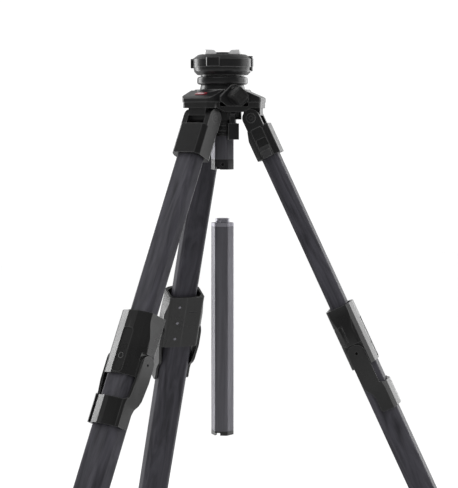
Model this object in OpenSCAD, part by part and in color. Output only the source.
// Camera tripod: three telescopic legs under a levelling head, with a short
// centre column and its detachable lower section.
// Frame: +Z up, z = 0 on the floor, the column on the Z axis, the back leg at +Y.

/* [Legs] */
// Angle of each leg from vertical, degrees
leg_spread = 25; // [22:0.5:26]
// Distance from the hinge pin to the middle of the foot ball
leg_length = 990; // [960:1:1030]
// Length of the casting below its hinge pin
casting_length = 48.5; // [44:0.5:52]
// Distance from the hinge pin to the top of the lock housing
lock_start = 237.5; // [220:0.5:260]
// Length of the thick outer tube
outer_tube_length = 440; // [420:5:460]
// Length of the upper tube
upper_tube_length = 474; // [460:2:480]
// Length of the bottom tube
bottom_tube_length = 400; // [380:5:405]

/* [Tube section] */
// Width of the upper tube, along the hinge pin
tube_width = 30; // [28:0.5:32]
// Depth of the upper tube, across the hinge pin
tube_depth = 20; // [18:0.5:22]
// Wall of every leg tube
tube_wall = 1.5; // [1.2:0.3:1.5]
// Growth per side from one nested tube to the next
nest_step = 1.8; // [1.8:0.3:2.1]

/* [Lock] */
// Length of the lock housing
housing_length = 72; // [68:1:76]
// Length of tube seen between the housing and the lever band
band_gap = 26; // [24:1:28]
// Length of the lever band along the leg
band_length = 31; // [28:1:34]

/* [Crown] */
// Distance of each hinge pin from the column axis
hinge_radius = 36; // [35:0.5:38]
// Reach of each crown arm from the column axis
arm_reach = 48; // [46:1:52]
// Width of each crown arm
arm_width = 47; // [44:1:48]

/* [Column] */
// Width of the hexagonal column across its flats
column_flats = 24; // [22:0.5:24]
// Length of the detached lower column tube
lower_column_length = 239; // [200:1:260]
// Gap between the column and its detached lower section
column_gap = 61.5; // [40:0.5:80]

/* [Head] */
// Widest radius of the quick-release base
head_radius = 34.5; // [32:0.5:36]
// Turn of the quick-release base about the column
head_turn = -20; // [-45:5:45]

/* [Hidden] */
$fn = 64;
// Heights in the crown frame, whose z = 0 is where the leg axes are 40 mm out.
hinge_height = 8.6;
lug_radius = 6.5;
lug_shoulder = 11.8;
arm_bottom = 26.5;
plate_bottom = 20;
hub_top = 41.2;
arm_end_top = 33;
ball_height = 38;
ball_bottom = 32;
ring_clearance = 43.2;
head_top = 81.3;
hub_seat = 78.5;
hub_thread_top = 84;
wing_top = 86.7;
thread_radius = 4.76;
column_bottom = -38.6;
column_end = -50.5;
knob_height = 33.5;
knob_face = 38.6;
web_reach = 37;
screw_x = -0.7;
screw_z = 41.6;
lever_pin_y = -21.2;
lever_pin_z = 14;
lever_pin_radius = 1.2;
bayonet_turn = 222;
// Sizes of the leg parts.
corner_radius = 4;
section_chamfer = 2;
hinge_pin_radius = 3;
running_fit = 0.05;
cheek_radius = 10;
cheek_inner = 12.6;
cheek_outer = 19.7;
selector_slot_start = 26;
selector_start = 35;
casting_top = 12.5;
housing_end = lock_start + housing_length;
outer_tube_start = lock_start + 7.5;
outer_tube_end = outer_tube_start + outer_tube_length;
bottom_tube_end = leg_length - 10;
bottom_tube_start = bottom_tube_end - bottom_tube_length;
collar_start = outer_tube_end - 17;
collar_end = outer_tube_end + 17;
pivot_drop = housing_end - 16.4;
pivot_out = -1.5;
housing_top_half = 22.5;
housing_half = 26;
pivot_half = 22.9;
band_start = housing_end + band_gap;
band_end = band_start + band_length;
arm_inner = pivot_half + 0.3;
arm_outer = 26.6;
band_inner = 19.8;
band_half = 22.8;
band_out = 18.6;
lever_head_radius = 10;
housing_shoulder = pivot_drop - lever_head_radius - 0.6;
panel_start = 22;
panel_end = 42;
lever_pin_hole = 1.6 + running_fit;
foot_ball_radius = 16;
foot_drop = 15.2;
crown_z = leg_length * cos(leg_spread) + foot_drop - hinge_height;
leg_angles = [90, 210, 330];
BACK = 0;
LEFT = 1;
RIGHT = 2;

// ---- Frames and shared shapes ----

// The crown frame: z = 0 where the leg axes are 40 mm from the column axis.
module at_crown() {
    translate([0, 0, crown_z])
        children();
}

// One leg's frame: origin on its hinge pin, +X its outer face, the leg down -Z.
module at_leg(leg) {
    at_crown()
        rotate([0, 0, leg_angles[leg]])
            translate([hinge_radius, 0, hinge_height])
                rotate([0, -leg_spread, 0])
                    children();
}

// The head frame: the crown frame turned with the quick-release base.
module at_head() {
    at_crown()
        rotate([0, 0, head_turn])
            children();
}

// Outward unit normal of the edge from a to b of an anticlockwise outline.
function edge_normal(a, b) = [b.y - a.y, a.x - b.x] / norm(b - a);

// A convex outline with true arcs: circles on the centres and their tangent edges.
module rounded_outline(centres, radius) {
    count = len(centres);
    polygon([
        for (i = [0:count - 1], side = [0, 1])
            let (last = centres[(i + count - 1) % count], next = centres[(i + 1) % count])
                centres[i] + radius * (side == 0
                    ? edge_normal(last, centres[i])
                    : edge_normal(centres[i], next))
    ]);
    for (centre = centres)
        translate(centre)
            circle(radius);
}

// Corner-arc centres of a chamfered rectangle, whose chamfers fall 3 in 4.
function chamfered(x, y, run) = [
    [x, y - 0.75 * run], [x - run, y], [run - x, y], [-x, y - 0.75 * run],
    [-x, 0.75 * run - y], [run - x, -y], [x - run, -y], [x, 0.75 * run - y]
];

// The leg tubes' chamfered section, grown by the given amount on every side.
module leg_section(growth) {
    x = tube_depth / 2 - corner_radius + growth;
    y = tube_width / 2 - corner_radius + growth;
    rounded_outline(chamfered(x, y, section_chamfer + 2 * growth / 3), corner_radius);
}

// The column's rounded hexagon, with a flat facing +X.
module column_section(flats, radius = 4) {
    reach = (flats / 2 - radius) / cos(30);
    rounded_outline([for (i = [0:5]) reach * [cos(30 + 60 * i), sin(30 + 60 * i)]], radius);
}

// A rounded rectangle, size_x by size_y.
module rounded_rectangle(size_x, size_y, radius) {
    x = size_x / 2 - radius;
    y = size_y / 2 - radius;
    rounded_outline([[x, -y], [x, y], [-x, y], [-x, -y]], radius);
}

// A solid along a leg from one distance below the hinge to another.
module along_leg(start, end) {
    translate([0, 0, -end])
        linear_extrude(end - start)
            children();
}

// A tube along a leg, whose outer surface is the section grown by the amount.
module leg_tube(start, end, growth) {
    along_leg(start, end)
        difference() {
            leg_section(growth);
            leg_section(growth - tube_wall);
        }
}

// A round bar along Y, centred on y = 0.
module cross_bar(radius, length) {
    rotate([90, 0, 0])
        cylinder(r = radius, h = length, center = true);
}

// A flat profile drawn in X and Z, extruded along Y from one y to another.
module across(from_y, to_y) {
    translate([0, to_y, 0])
        rotate([90, 0, 0])
            linear_extrude(to_y - from_y)
                children();
}

// ---- Crown ----

// Plan of one crown arm, grown or shrunk by the inset.
module arm_plan(inset) {
    width = arm_width - 2 * inset;
    reach = arm_reach - inset;
    translate([reach / 2, 0])
        rounded_rectangle(reach, width, 7);
}

module arm_profile() {
    polygon([
        [0, arm_bottom], [arm_reach, arm_bottom], [arm_reach, arm_end_top - 2],
        [arm_reach - 3, arm_end_top], [28, hub_top - 1], [0, hub_top - 1]
    ]);
}

// The web that fills the corner between two arms.
module web_plan(inset) {
    translate([(web_reach - inset) / 2, 0])
        square([web_reach - inset, 48 - 2 * inset], center = true);
}

module crown_web() {
    intersection() {
        translate([0, 0, arm_bottom])
            linear_extrude(hub_top - arm_bottom)
                web_plan(0);
        rotate_extrude()
            polygon([
                [0, arm_bottom], [60, arm_bottom], [60, arm_end_top - 8],
                [28, hub_top - 1], [0, hub_top - 1]
            ]);
    }
}

module crown_arm() {
    intersection() {
        translate([0, 0, arm_bottom])
            linear_extrude(hub_top - arm_bottom)
                arm_plan(0);
        across(-arm_width / 2, arm_width / 2)
            arm_profile();
    }
}

// The lug that hangs between a casting's cheeks and holds the hinge pin.
module hinge_lug() {
    difference() {
        across(-12.3, 12.3) {
            translate([hinge_radius, hinge_height])
                circle(lug_radius);
            translate([hinge_radius - lug_radius, hinge_height])
                square([2 * lug_radius, arm_bottom - hinge_height]);
            translate([hinge_radius - 9.5, lug_shoulder])
                square([19, arm_bottom - lug_shoulder + 1]);
        }
        translate([hinge_radius, 0, hinge_height])
            cross_bar(hinge_pin_radius, 30);
    }
}

// The gabled boss on the front of the crown that the column-lock knob screws into.
module knob_boss() {
    translate([0, -26, 0])
        rotate([90, 0, 0])
            linear_extrude(knob_face - 26)
                polygon([
                    [-9, 22], [9, 22], [17, 28], [17, 33], [4, 45.4], [0, 46.8], [-4, 45.4],
                    [-17, 33], [-17, 28]
                ]);
}

module crown() {
    color("#26272a")
        at_crown() {
            difference() {
                union() {
                    for (angle = leg_angles)
                        rotate([0, 0, angle]) {
                            crown_arm();
                            hinge_lug();
                            rotate([0, 0, 60])
                                crown_web();
                        }
                    rotate_extrude()
                        polygon([
                            [0, arm_bottom], [33, arm_bottom], [34.5, arm_bottom + 2],
                            [34.5, 37], [32, hub_top], [0, hub_top]
                        ]);
                    knob_boss();
                }
                translate([0, 0, arm_bottom])
                    cylinder(r = 28, h = 30);
                translate([0, 0, 10])
                    cylinder(r = 18, h = 20);
                translate([0, -20, knob_height])
                    rotate([90, 0, 0])
                        cylinder(r = 4, h = 30);
                translate([screw_x, 1.6 - knob_face, screw_z])
                    rotate([90, 0, 0])
                        cylinder(r = 2.7, h = 4);
                translate([0, 0, ring_clearance])
                    cylinder(r = 31.4, h = 10);
            }
        }
}

module crown_underplate() {
    color("#1b1c1e")
        at_crown()
            difference() {
                union() {
                    translate([0, 0, plate_bottom])
                        linear_extrude(arm_bottom - plate_bottom) {
                            for (angle = leg_angles) {
                                rotate(angle)
                                    arm_plan(0.6);
                                rotate(angle + 60)
                                    web_plan(0.6);
                            }
                        }
                    across(-37.6, -26)
                        polygon([
                            [-21, plate_bottom], [-11, 15.5], [11, 15.5], [21, plate_bottom],
                            [21, arm_bottom], [-21, arm_bottom]
                        ]);
                    translate([0, 0, 7])
                        cylinder(r = 22, h = 13);
                    translate([-2.8, lever_pin_y - 3, 10.5])
                        cube([13.6, 9, 10]);
                }
                for (angle = leg_angles)
                    rotate([0, 0, angle])
                        translate([hinge_radius - 9.8, -12.6, 18])
                            cube([19.6, 25.2, 10]);
                translate([0, 0, 6])
                    cylinder(r = 17.6, h = 30);
                translate([0, -40, knob_height])
                    cube([34.6, 28, 23.6], center = true);
                translate([0.6, -26, 5])
                    cube([6.8, 8.4, 14.2]);
                translate([4, lever_pin_y, lever_pin_z])
                    rotate([0, 90, 0])
                        cylinder(r = lever_pin_radius, h = 12, center = true);
            }
}

// A plain oval inlay on the left arm's sloping top.
module crown_badge() {
    slope = atan((hub_top - 1 - arm_end_top) / (arm_reach - 3 - 28));
    color("#8c1c26")
        at_crown()
            rotate([0, 0, leg_angles[LEFT]])
                translate([arm_reach - 3, 0, arm_end_top])
                    rotate([0, slope, 0])
                        translate([-7.6, 0, 0])
                            linear_extrude(0.8)
                                rounded_rectangle(6.4, 17, 3.1);
}

module bracket_screw() {
    color("#b9bcc2")
        at_crown()
            translate([screw_x, 1.6 - knob_face, screw_z])
                rotate([90, 0, 0])
                    difference() {
                        cylinder(r = 2.4, h = 1.5);
                        translate([0, 0, 0.6])
                            cylinder(r = 1.2, h = 2, $fn = 6);
                    }
}

// Three identical hinge bolts, one through each lug and its casting's cheeks.
module hinge_bolts() {
    color("#5a5c61")
        at_crown()
            for (angle = leg_angles)
                rotate([0, 0, angle])
                    translate([hinge_radius, 0, hinge_height]) {
                        cross_bar(hinge_pin_radius, 2 * cheek_outer - 1);
                        for (side = [-1, 1])
                            translate([0, side * (cheek_outer - 1.1), 0])
                                difference() {
                                    cross_bar(5.2, 1.8);
                                    translate([0, side * 1.5, 0])
                                        rotate([90, 30, 0])
                                            cylinder(r = 2.4, h = 2, center = true, $fn = 6);
                                }
                    }
}

// ---- Column, its sleeve and lock ----

module column_sleeve() {
    color("#222326")
        at_crown()
            difference() {
                union() {
                    translate([0, 0, -12])
                        cylinder(r = 16, h = 38.5);
                    for (z = [-12, -6, 0])
                        translate([0, 0, z])
                            cylinder(r = 17.2, h = 3);
                    translate([0, 0, 14])
                        cylinder(r = 17.6, h = 12.5);
                }
                translate([0, 0, -13])
                    linear_extrude(42)
                        column_section(column_flats + 0.4, 4.2);
            }
}

// The rounded-square grip of the column lock, on its screw shank.
module column_lock_knob() {
    color("#1f2023")
        at_crown()
            translate([0, -knob_face - 0.4, knob_height])
                rotate([90, 0, 0]) {
                    translate([0, 0, -10])
                        cylinder(r = 3.7, h = 11);
                    cylinder(r = 8.2, h = 3);
                    translate([0, 0, 3])
                        linear_extrude(16)
                            rotate(45)
                                rounded_rectangle(16.4, 16.4, 3.2);
                    translate([0, 0, 19])
                        linear_extrude(2.6)
                            rotate(45)
                                rounded_rectangle(14, 14, 3);
                }
}

module level_lever() {
    color("#2b2c2f")
        at_crown()
            difference() {
                union() {
                    translate([1, -21.5, -16])
                        cube([6, 3.4, 30]);
                    translate([4, lever_pin_y, lever_pin_z])
                        rotate([0, 90, 0])
                            cylinder(r = 2.8, h = 6, center = true);
                    translate([-1, -22, -16])
                        cube([13, 4.2, 18.5]);
                }
                translate([4, lever_pin_y, lever_pin_z])
                    rotate([0, 90, 0])
                        cylinder(r = lever_pin_radius + running_fit, h = 20, center = true);
            }
}

module level_lever_pin() {
    color("#8b8e94")
        at_crown()
            translate([4, lever_pin_y, lever_pin_z])
                rotate([0, 90, 0])
                    cylinder(r = lever_pin_radius, h = 12, center = true);
}

module column_tube() {
    color("#3a3a40")
        at_crown()
            translate([0, 0, column_bottom])
                linear_extrude(27 - column_bottom)
                    difference() {
                        column_section(column_flats);
                        column_section(column_flats - 4, 3);
                    }
}

module column_end_cap() {
    color("#1d1e20")
        at_crown()
            difference() {
                union() {
                    translate([0, 0, column_end])
                        linear_extrude(column_bottom - column_end)
                            column_section(column_flats);
                    translate([0, 0, column_bottom - 1])
                        linear_extrude(9)
                            column_section(column_flats - 4.2, 3);
                }
                translate([0, 0, column_end - 1])
                    cylinder(r = 8.4, h = 7.5);
                rotate([0, 0, bayonet_turn])
                    translate([6, -3, column_end - 1])
                        cube([8, 6, 4]);
                rotate([0, 0, 240])
                    translate([0, 2, -44.5])
                        rotate([0, 90, 0])
                            cylinder(r = 1.9, h = 20);
            }
}

// ---- Levelling joint and quick-release head ----

module levelling_cup() {
    color("#232427")
        at_crown()
            difference() {
                union() {
                    translate([0, 0, arm_bottom + 0.3])
                        cylinder(r = 27.6, h = 12.8);
                    translate([0, 0, 19])
                        linear_extrude(8.5)
                            column_section(column_flats - 4.2, 3);
                }
                translate([0, 0, ball_height])
                    sphere(r = 26.5, $fn = 96);
                translate([0, 0, 12])
                    cylinder(r = 5, h = 20);
            }
}

// The draw stud: a small ball inside the big one, with its stem down the column.
module levelling_stud() {
    color("#9a9da3")
        at_crown()
            translate([0, 0, ball_height]) {
                sphere(r = 6);
                translate([0, 0, -17])
                    cylinder(r = 3, h = 14);
            }
}

module levelling_ball() {
    color("#2a2b2f")
        at_crown()
            difference() {
                intersection() {
                    translate([0, 0, ball_height])
                        sphere(r = 26.2, $fn = 96);
                    translate([0, 0, ball_bottom])
                        cylinder(r = 30, h = 47 - ball_bottom);
                }
                translate([0, 0, ball_height])
                    sphere(r = 6.3);
                translate([0, 0, 28])
                    cylinder(r = 5.6, h = 8);
            }
}

module levelling_ring() {
    color("#17181a")
        at_head()
            rotate_extrude()
                translate([0, 47])
                    polygon([
                        [0, 0], [26.5, 0], [28.6, 0.8], [29.3, 2.5], [29.3, 6.5],
                        [28.6, 8.2], [26.5, 9], [0, 9]
                    ]);
}

module head_profile() {
    polygon([
        [0, 56], [25, 56], [25, 58], [29, 58], [32.4, 61.4], [33.2, 64], [33.2, 66.6],
        [head_radius, 66.6], [head_radius, 76], [33.8, 76.9], [28.4, 80.8], [26.8, head_top],
        [0, head_top]
    ]);
}

module head_base() {
    color("#1c1d20")
        at_head()
            difference() {
                union() {
                    rotate_extrude()
                        head_profile();
                    intersection() {
                        translate([-18.3, -40, 67.4])
                            cube([14.4, 20, 10]);
                        cylinder(r = head_radius + 1.4, h = 90);
                    }
                }
                translate([-36, 0, 71])
                    cube([16, 14.6, 11.2], center = true);
                translate([33, 0, 73])
                    cube([13, 13.6, 22.6], center = true);
                translate([0, 0, hub_seat])
                    cylinder(r = 8.3, h = 4);
                translate([0, 0, 70])
                    cylinder(r = thread_radius, h = 12);
            }
}

// Two opposed metal wings that a mating plate grips.
module head_wings() {
    color("#c4c6ca")
        at_head()
            intersection() {
                rotate_extrude()
                    polygon([
                        [8.6, head_top], [23.6, head_top], [23.6, wing_top - 0.4], [23.1, wing_top],
                        [12.2, wing_top], [8.6, head_top + 2.6]
                    ]);
                for (angle = [0, 180])
                    rotate([0, 0, angle])
                        translate([0, 0, 79])
                            linear_extrude(10)
                                polygon([[0, 0], [30, -22], [30, 22]]);
            }
}

module head_hub() {
    color("#2d2e32")
        at_head()
            difference() {
                translate([0, 0, hub_seat])
                    cylinder(r = 8.3, h = hub_thread_top - hub_seat);
                translate([0, 0, 76])
                    cylinder(r = thread_radius, h = 12);
            }
}

module release_button() {
    color("#101112")
        at_head()
            translate([-31.6, 0, 71])
                rotate([0, -90, 0])
                    linear_extrude(5)
                        rounded_rectangle(10.6, 14, 3);
}

module head_latch() {
    color("#4a4b50")
        at_head() {
            translate([30.6, 0, 74.2])
                linear_extrude(5.4)
                    rounded_rectangle(8, 13, 1.5);
            translate([30.1, 0, 66])
                linear_extrude(8.4)
                    rounded_rectangle(7, 11, 1.5);
        }
}

// ---- Detached lower column section ----

lower_rim_top = column_end - column_gap;

module column_connector() {
    color("#8d8c92")
        at_crown() {
            translate([0, 0, lower_rim_top - 4.2])
                linear_extrude(4.2)
                    column_section(column_flats);
            translate([0, 0, lower_rim_top - 1])
                cylinder(r = 8, h = 6);
            rotate([0, 0, bayonet_turn])
                translate([6, -2.5, lower_rim_top - 1])
                    cube([4.6, 5, 3.6]);
            translate([0, 0, lower_rim_top - 14])
                linear_extrude(12)
                    column_section(column_flats - 4.2, 3);
        }
}

module lower_column_tube() {
    color("#55545b")
        at_crown()
            translate([0, 0, lower_rim_top - 4.2 - lower_column_length])
                difference() {
                    linear_extrude(lower_column_length)
                        difference() {
                            column_section(column_flats);
                            column_section(column_flats - 4, 3);
                        }
                    translate([0, 0, 10])
                        rotate([0, 90, 0])
                            cylinder(r = 2.7, h = 20);
                }
}

module column_foot_cap() {
    color("#141516")
        at_crown()
            translate([0, 0, lower_rim_top - 4.2 - lower_column_length])
                difference() {
                    union() {
                        translate([0, 0, -5])
                            linear_extrude(5)
                                column_section(column_flats);
                        linear_extrude(6)
                            column_section(column_flats - 4.2, 3);
                    }
                    translate([0, 0, -6])
                        cylinder(r = 8.4, h = 7.5);
                    rotate([0, 0, bayonet_turn])
                        translate([6, -3, -6])
                            cube([8, 6, 4]);
                }
}

module column_detent() {
    color("#101112")
        at_crown()
            translate([8.4, 0, lower_rim_top + 5.8 - lower_column_length])
                rotate([0, 90, 0]) {
                    cylinder(r = 2.4, h = 4.8);
                    cylinder(r = 3.6, h = 1);
                }
}

// ---- Legs ----

module casting_outline() {
    rounded_outline(chamfered(10.9, 16.1, 3), 3.6);
}

// A recess in the casting's side face, from one distance down the leg to another.
module side_recess(start, end, width, depth) {
    translate([0, depth - cheek_outer, -(start + end) / 2])
        rotate([90, 0, 0])
            linear_extrude(depth + 2)
                rounded_rectangle(width, end - start, 2.5);
}

module casting(leg) {
    color("#222326")
        at_leg(leg)
            difference() {
                union() {
                    along_leg(casting_top, casting_length)
                        casting_outline();
                    for (side = [-1, 1])
                        scale([1, side, 1])
                            across(cheek_inner, cheek_outer) {
                                circle(cheek_radius);
                                translate([-cheek_radius, -casting_top - 1])
                                    square([2 * cheek_radius, casting_top + 1]);
                            }
                }
                along_leg(casting_top + 3.5, casting_length + 1)
                    leg_section(0);
                cross_bar(hinge_pin_radius + running_fit, 50);
                for (side = [-1, 1])
                    translate([0, side * (cheek_outer + 7.7), 0])
                        cross_bar(5.4, 20);
                side_recess(13, casting_length + 4, 13.6, 0.8);
                side_recess(selector_slot_start, casting_length + 4, 12.4, 3);
                across(-30, 30)
                    polygon([
                        [-10.5, 1 - casting_top], [-20, 1 - casting_top], [-20, -24], [-14.5, -24],
                        [-10.5, -casting_top]
                    ]);
            }
}

module angle_selector(leg) {
    selector_length = casting_length - selector_start;
    color("#3f4044")
        at_leg(leg)
            translate([0, 2.7 - cheek_outer, -(casting_length + selector_start) / 2])
                rotate([90, 0, 0]) {
                    linear_extrude(2.2)
                        rounded_rectangle(11.8, selector_length, 1.6);
                    translate([0, 1 - selector_length / 2, 2.2])
                        linear_extrude(3)
                            translate([0, 3.4])
                                rounded_rectangle(10.6, 8.4, 1.6);
                }
}

module upper_tube(leg) {
    color("#35343a")
        at_leg(leg)
            leg_tube(casting_top + 3.5, casting_top + 3.5 + upper_tube_length, 0);
}

module upper_plug(leg) {
    tube_end = casting_top + 3.5 + upper_tube_length;
    color("#101112")
        at_leg(leg) {
            along_leg(tube_end, tube_end + 5)
                leg_section(-0.3);
            along_leg(tube_end - 18, tube_end)
                leg_section(-tube_wall);
        }
}

module outer_tube(leg) {
    color("#35343a")
        at_leg(leg)
            leg_tube(outer_tube_start, outer_tube_end, 2 * nest_step);
}

// Half of a lock's outer face: a narrow flat, then three slants that turn to the side.
function lock_corner(out, side) = [
    [out, side - 15.9], [out - 2.8, side - 6.3], [out - 6.4, side - 1.5], [out - 8.4, side]
];

// The same centres on the other side of the leg, in reverse order.
function mirrored(centres) = [
    for (i = [len(centres) - 1:-1:0]) [centres[i].x, -centres[i].y]
];

// The housing's outline, deeper outside than inside, shrunk by the inset.
module housing_outline(half_width, inset = 0) {
    side = half_width - 4;
    half = concat(lock_corner(12.6, side), [[-6.9, side], [-10.9, side - 3]]);
    rounded_outline(concat(half, mirrored(half)), 4 - inset);
}

// The lever's outline: its outer face and corners, reaching far inside the leg.
module lever_outline(half_width) {
    side = half_width - 4;
    half = concat(lock_corner(band_out - 4, side), [[-20, side]]);
    rounded_outline(concat(half, mirrored(half)), 4);
}

// A profile drawn in Y and distance down the leg, extruded through the leg.
module through_leg() {
    rotate([0, 90, 0])
        translate([0, 0, -40])
            linear_extrude(80)
                children();
}

// The housing's front view: narrow at the top, widest above the lever's pivot.
module housing_front() {
    for (side = [-1, 1])
        scale([1, side])
            polygon([
                [lock_start, 0], [lock_start, housing_top_half], [lock_start + 9, housing_top_half],
                [lock_start + 30, housing_half], [housing_shoulder, housing_half],
                [housing_shoulder, pivot_half], [housing_end, pivot_half], [housing_end, 0]
            ]);
}

// The seam of the access panel that wraps the housing's inner corner.
module panel_seam() {
    seam = 0.8;
    for (drop = [panel_start, panel_end])
        translate([-16, -27, -lock_start - drop])
            difference() {
                cube([11.6, 23, seam]);
                translate([2, 4, -1])
                    cube([20, 20, 3]);
            }
    translate([-5.2, -27, -lock_start - panel_end])
        cube([seam, 2.4, panel_end - panel_start + seam]);
}

// A countersunk screw set in the housing's inner face.
module housing_screw(drop) {
    translate([-14, 8.5, -lock_start - drop])
        rotate([0, -90, 0])
            difference() {
                cylinder(r = 2.3, h = 3);
                cylinder(r = 1.8, h = 0.75);
            }
    translate([-14.4, 8.5, -lock_start - drop])
        rotate([0, -90, 0])
            cylinder(r = 0.9, h = 3, $fn = 6);
}

module lock_housing(leg) {
    color("#1f2022")
        at_leg(leg)
            difference() {
                intersection() {
                    along_leg(lock_start, housing_end)
                        housing_outline(housing_half);
                    through_leg()
                        housing_front();
                }
                along_leg(outer_tube_start, housing_end + 1)
                    leg_section(2 * nest_step);
                along_leg(lock_start - 1, outer_tube_start)
                    housing_outline(housing_top_half, 2.4);
                translate([15.8, 0, -lock_start - 45])
                    rotate([0, 90, 0])
                        linear_extrude(2)
                            rounded_rectangle(50, 15, 4);
                panel_seam();
                for (drop = [14, 37, 60])
                    housing_screw(drop);
            }
}

module clamp_sleeve(leg) {
    color("#6a6b70")
        at_leg(leg)
            along_leg(outer_tube_start + 2, pivot_drop - 4)
                difference() {
                    leg_section(1.5);
                    leg_section(0.3);
                }
}

// The lever's side view: a round head on the pivot, a deep arm, and a waist at the band.
module lever_arm_profile() {
    inner = pivot_out - lever_head_radius;
    outer = pivot_out + lever_head_radius;
    translate([pivot_out, -pivot_drop])
        circle(lever_head_radius);
    polygon([
        [inner, -pivot_drop], [inner, -band_start + 4], [inner + 2, -band_start - 2],
        [inner + 6.6, -band_start - 8], [inner + 8.4, -band_start - 14], [inner + 8.4, -band_end + 2],
        [inner + 10.4, -band_end], [14, -band_end], [band_out, -band_end + 3],
        [band_out, -band_start - 1], [14, -band_start], [outer, -band_start + 3], [outer, -pivot_drop]
    ]);
}

// The lever's front view: arms that draw in from the pivots to the band.
module lever_front() {
    for (side = [-1, 1])
        scale([1, side])
            polygon([
                [pivot_drop - lever_head_radius, arm_inner], [pivot_drop + 21, arm_inner],
                [band_start + 2, band_inner], [band_end, band_inner], [band_end, band_half],
                [band_start + 6, band_half], [pivot_drop + 18, arm_outer],
                [pivot_drop - lever_head_radius, arm_outer]
            ]);
}

// The band round the tube's outer face, from arm to arm.
module lever_band() {
    intersection() {
        along_leg(band_start, band_end)
            difference() {
                lever_outline(band_half);
                translate([0.3, 0])
                    leg_section(2 * nest_step + 0.6);
            }
        translate([0, -30, -band_end - 1])
            cube([40, 60, band_length + 2]);
    }
}

module lock_lever(leg) {
    color("#141517")
        at_leg(leg)
            difference() {
                union() {
                    intersection() {
                        across(-30, 30)
                            lever_arm_profile();
                        through_leg()
                            lever_front();
                        along_leg(pivot_drop - 20, band_end)
                            lever_outline(arm_outer);
                    }
                    lever_band();
                }
                translate([pivot_out, 0, -pivot_drop])
                    cross_bar(lever_pin_hole, 60);
            }
}

module lever_pin(leg) {
    color("#8b8e94")
        at_leg(leg)
            for (side = [-1, 1])
                translate([pivot_out, side * (pivot_half + 1.9), -pivot_drop])
                    cross_bar(1.6, 3.8);
}

module lower_collar(leg) {
    color("#1d1e20")
        at_leg(leg)
            difference() {
                union() {
                    along_leg(collar_start, collar_end - 4)
                        leg_section(2 * nest_step + 2.1);
                    along_leg(collar_end - 5, collar_end)
                        leg_section(2 * nest_step + 1.2);
                }
                along_leg(collar_start - 1, outer_tube_end)
                    leg_section(2 * nest_step);
                along_leg(outer_tube_end - 1, collar_end + 1)
                    leg_section(nest_step + 0.15);
            }
}

module bottom_tube(leg) {
    color("#35343a")
        at_leg(leg)
            leg_tube(bottom_tube_start, bottom_tube_end, nest_step);
}

module foot(leg) {
    cup_start = bottom_tube_end - 26;
    color("#0f1011")
        intersection() {
            at_leg(leg)
                difference() {
                    union() {
                        along_leg(cup_start, bottom_tube_end + 3)
                            leg_section(2 * nest_step + 0.3);
                        translate([0, 0, -leg_length])
                            sphere(r = foot_ball_radius);
                    }
                    leg_tube(cup_start - 1, bottom_tube_end, nest_step);
                    along_leg(cup_start - 1, bottom_tube_end - 12)
                        leg_section(nest_step - tube_wall);
                }
            translate([-1000, -1000, 0])
                cube([2000, 2000, 200]);
        }
}

crown();
crown_underplate();
crown_badge();
bracket_screw();
hinge_bolts();
column_sleeve();
column_lock_knob();
level_lever();
level_lever_pin();
column_tube();
column_end_cap();
levelling_cup();
levelling_stud();
levelling_ball();
levelling_ring();
head_base();
head_wings();
head_hub();
release_button();
head_latch();
lower_column_tube();
column_connector();
column_foot_cap();
column_detent();
casting(BACK);  // back_casting
angle_selector(BACK);  // back_angle_selector
upper_tube(BACK);  // back_upper_tube
upper_plug(BACK);  // back_upper_plug
outer_tube(BACK);  // back_outer_tube
lock_housing(BACK);  // back_lock_housing
clamp_sleeve(BACK);  // back_clamp_sleeve
lock_lever(BACK);  // back_lock_lever
lever_pin(BACK);  // back_lever_pin
lower_collar(BACK);  // back_lower_collar
bottom_tube(BACK);  // back_bottom_tube
foot(BACK);  // back_foot
casting(LEFT);  // left_casting
angle_selector(LEFT);  // left_angle_selector
upper_tube(LEFT);  // left_upper_tube
upper_plug(LEFT);  // left_upper_plug
outer_tube(LEFT);  // left_outer_tube
lock_housing(LEFT);  // left_lock_housing
clamp_sleeve(LEFT);  // left_clamp_sleeve
lock_lever(LEFT);  // left_lock_lever
lever_pin(LEFT);  // left_lever_pin
lower_collar(LEFT);  // left_lower_collar
bottom_tube(LEFT);  // left_bottom_tube
foot(LEFT);  // left_foot
casting(RIGHT);  // right_casting
angle_selector(RIGHT);  // right_angle_selector
upper_tube(RIGHT);  // right_upper_tube
upper_plug(RIGHT);  // right_upper_plug
outer_tube(RIGHT);  // right_outer_tube
lock_housing(RIGHT);  // right_lock_housing
clamp_sleeve(RIGHT);  // right_clamp_sleeve
lock_lever(RIGHT);  // right_lock_lever
lever_pin(RIGHT);  // right_lever_pin
lower_collar(RIGHT);  // right_lower_collar
bottom_tube(RIGHT);  // right_bottom_tube
foot(RIGHT);  // right_foot
